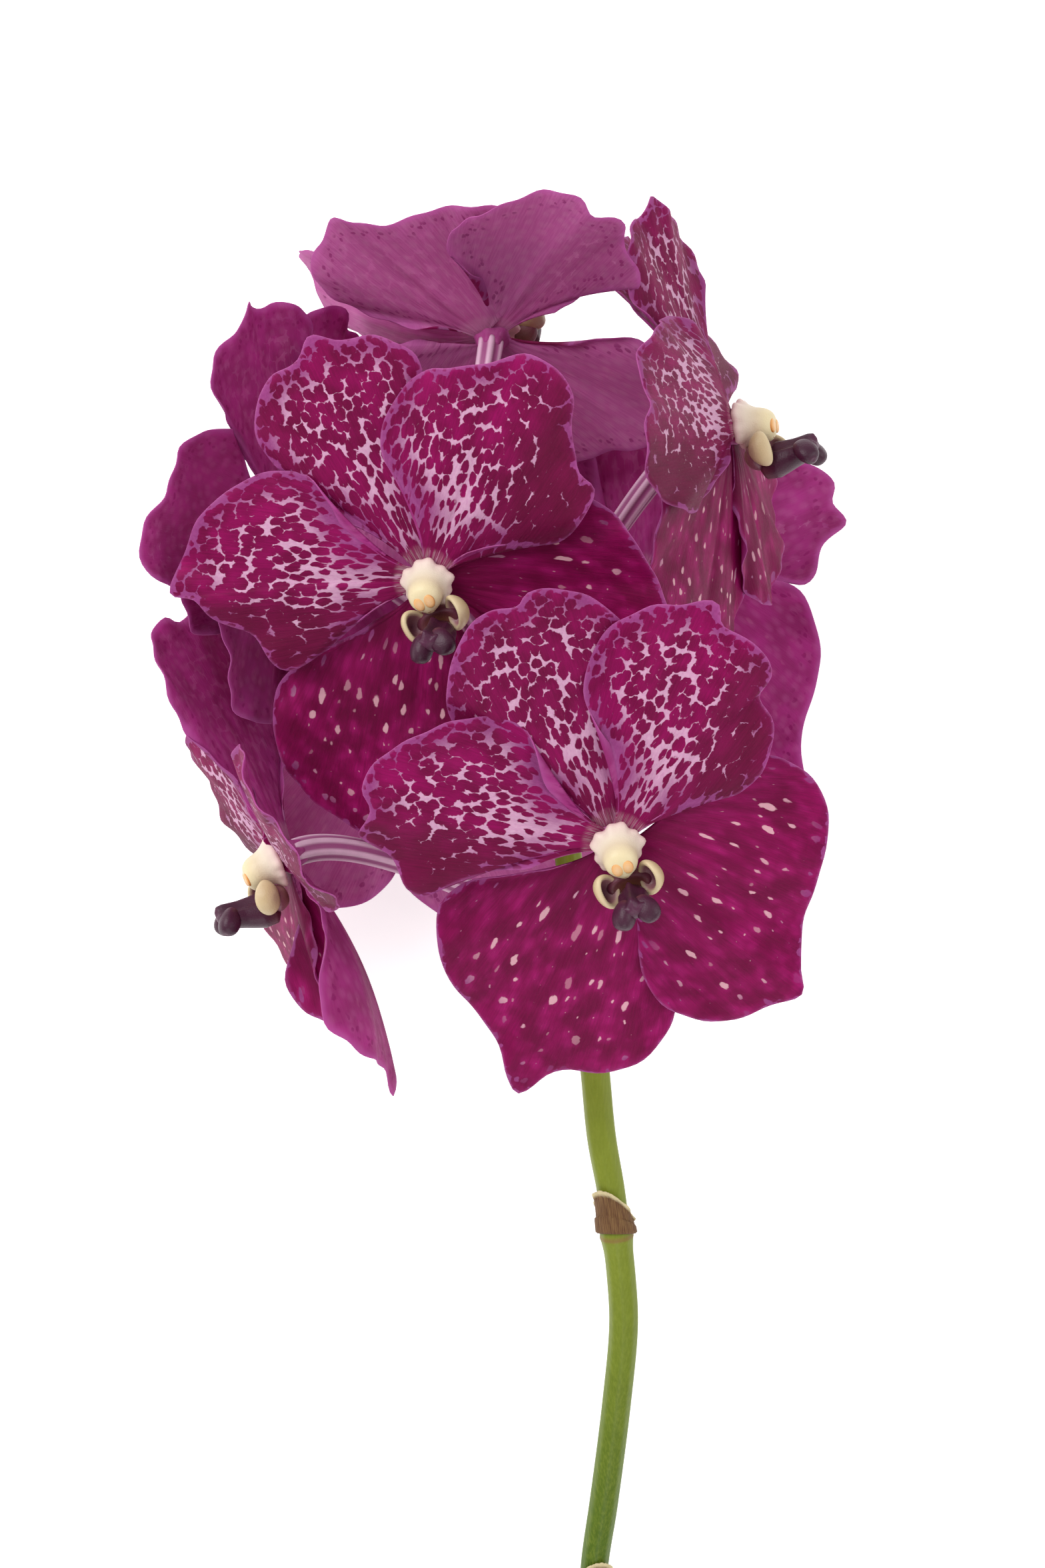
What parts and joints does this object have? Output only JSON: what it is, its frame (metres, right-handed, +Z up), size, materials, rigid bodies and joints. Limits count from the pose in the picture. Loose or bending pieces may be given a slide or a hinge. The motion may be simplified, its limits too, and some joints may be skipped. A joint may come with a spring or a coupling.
{
  "type": "vanda orchid",
  "caption": "Cut spray of a spotted magenta vanda orchid: a round head of flat five-petalled blooms on ribbed stalks along one bare green stem, lying down.",
  "frame": {"origin": "on the ground plane under the middle of the bounding box", "axes": "+Z up from the ground the spray lies on, +Y along the stem from its cut end to the head, +X to the right seen from above with the head away"},
  "size_m": [0.1372, 0.2728, 0.1166],
  "materials": {
    "petal_magenta": "velvety deep magenta, spotted pale pink, with a paler margin",
    "column_cream": "waxy cream with a yellow cap",
    "lip_purple": "dark maroon tongue, side lobes cream outside",
    "stalk_pink": "pale pink, ribbed, satin",
    "stem_green": "smooth yellow-green, satin",
    "bract_brown": "dry papery brown"
  },
  "bodies": {
    "root": {"bloom_01_tepals": "petal_magenta", "bloom_01_column": "column_cream", "bloom_01_lip": "lip_purple", "bloom_01_stalk": "stalk_pink", "bloom_02_tepals": "petal_magenta", "bloom_02_column": "column_cream", "bloom_02_lip": "lip_purple", "bloom_02_stalk": "stalk_pink", "bloom_03_tepals": "petal_magenta", "bloom_03_column": "column_cream", "bloom_03_lip": "lip_purple", "bloom_03_stalk": "stalk_pink", "bloom_04_tepals": "petal_magenta", "bloom_04_column": "column_cream", "bloom_04_lip": "lip_purple", "bloom_04_stalk": "stalk_pink", "bloom_05_tepals": "petal_magenta", "bloom_05_column": "column_cream", "bloom_05_lip": "lip_purple", "bloom_05_stalk": "stalk_pink", "bloom_06_tepals": "petal_magenta", "bloom_06_column": "column_cream", "bloom_06_lip": "lip_purple", "bloom_06_stalk": "stalk_pink", "bloom_07_tepals": "petal_magenta", "bloom_07_column": "column_cream", "bloom_07_lip": "lip_purple", "bloom_07_stalk": "stalk_pink", "bloom_08_tepals": "petal_magenta", "bloom_08_column": "column_cream", "bloom_08_lip": "lip_purple", "bloom_08_stalk": "stalk_pink", "stem": "stem_green", "bract_upper": "bract_brown", "bract_lower": "bract_brown"}
  },
  "joints": []
}
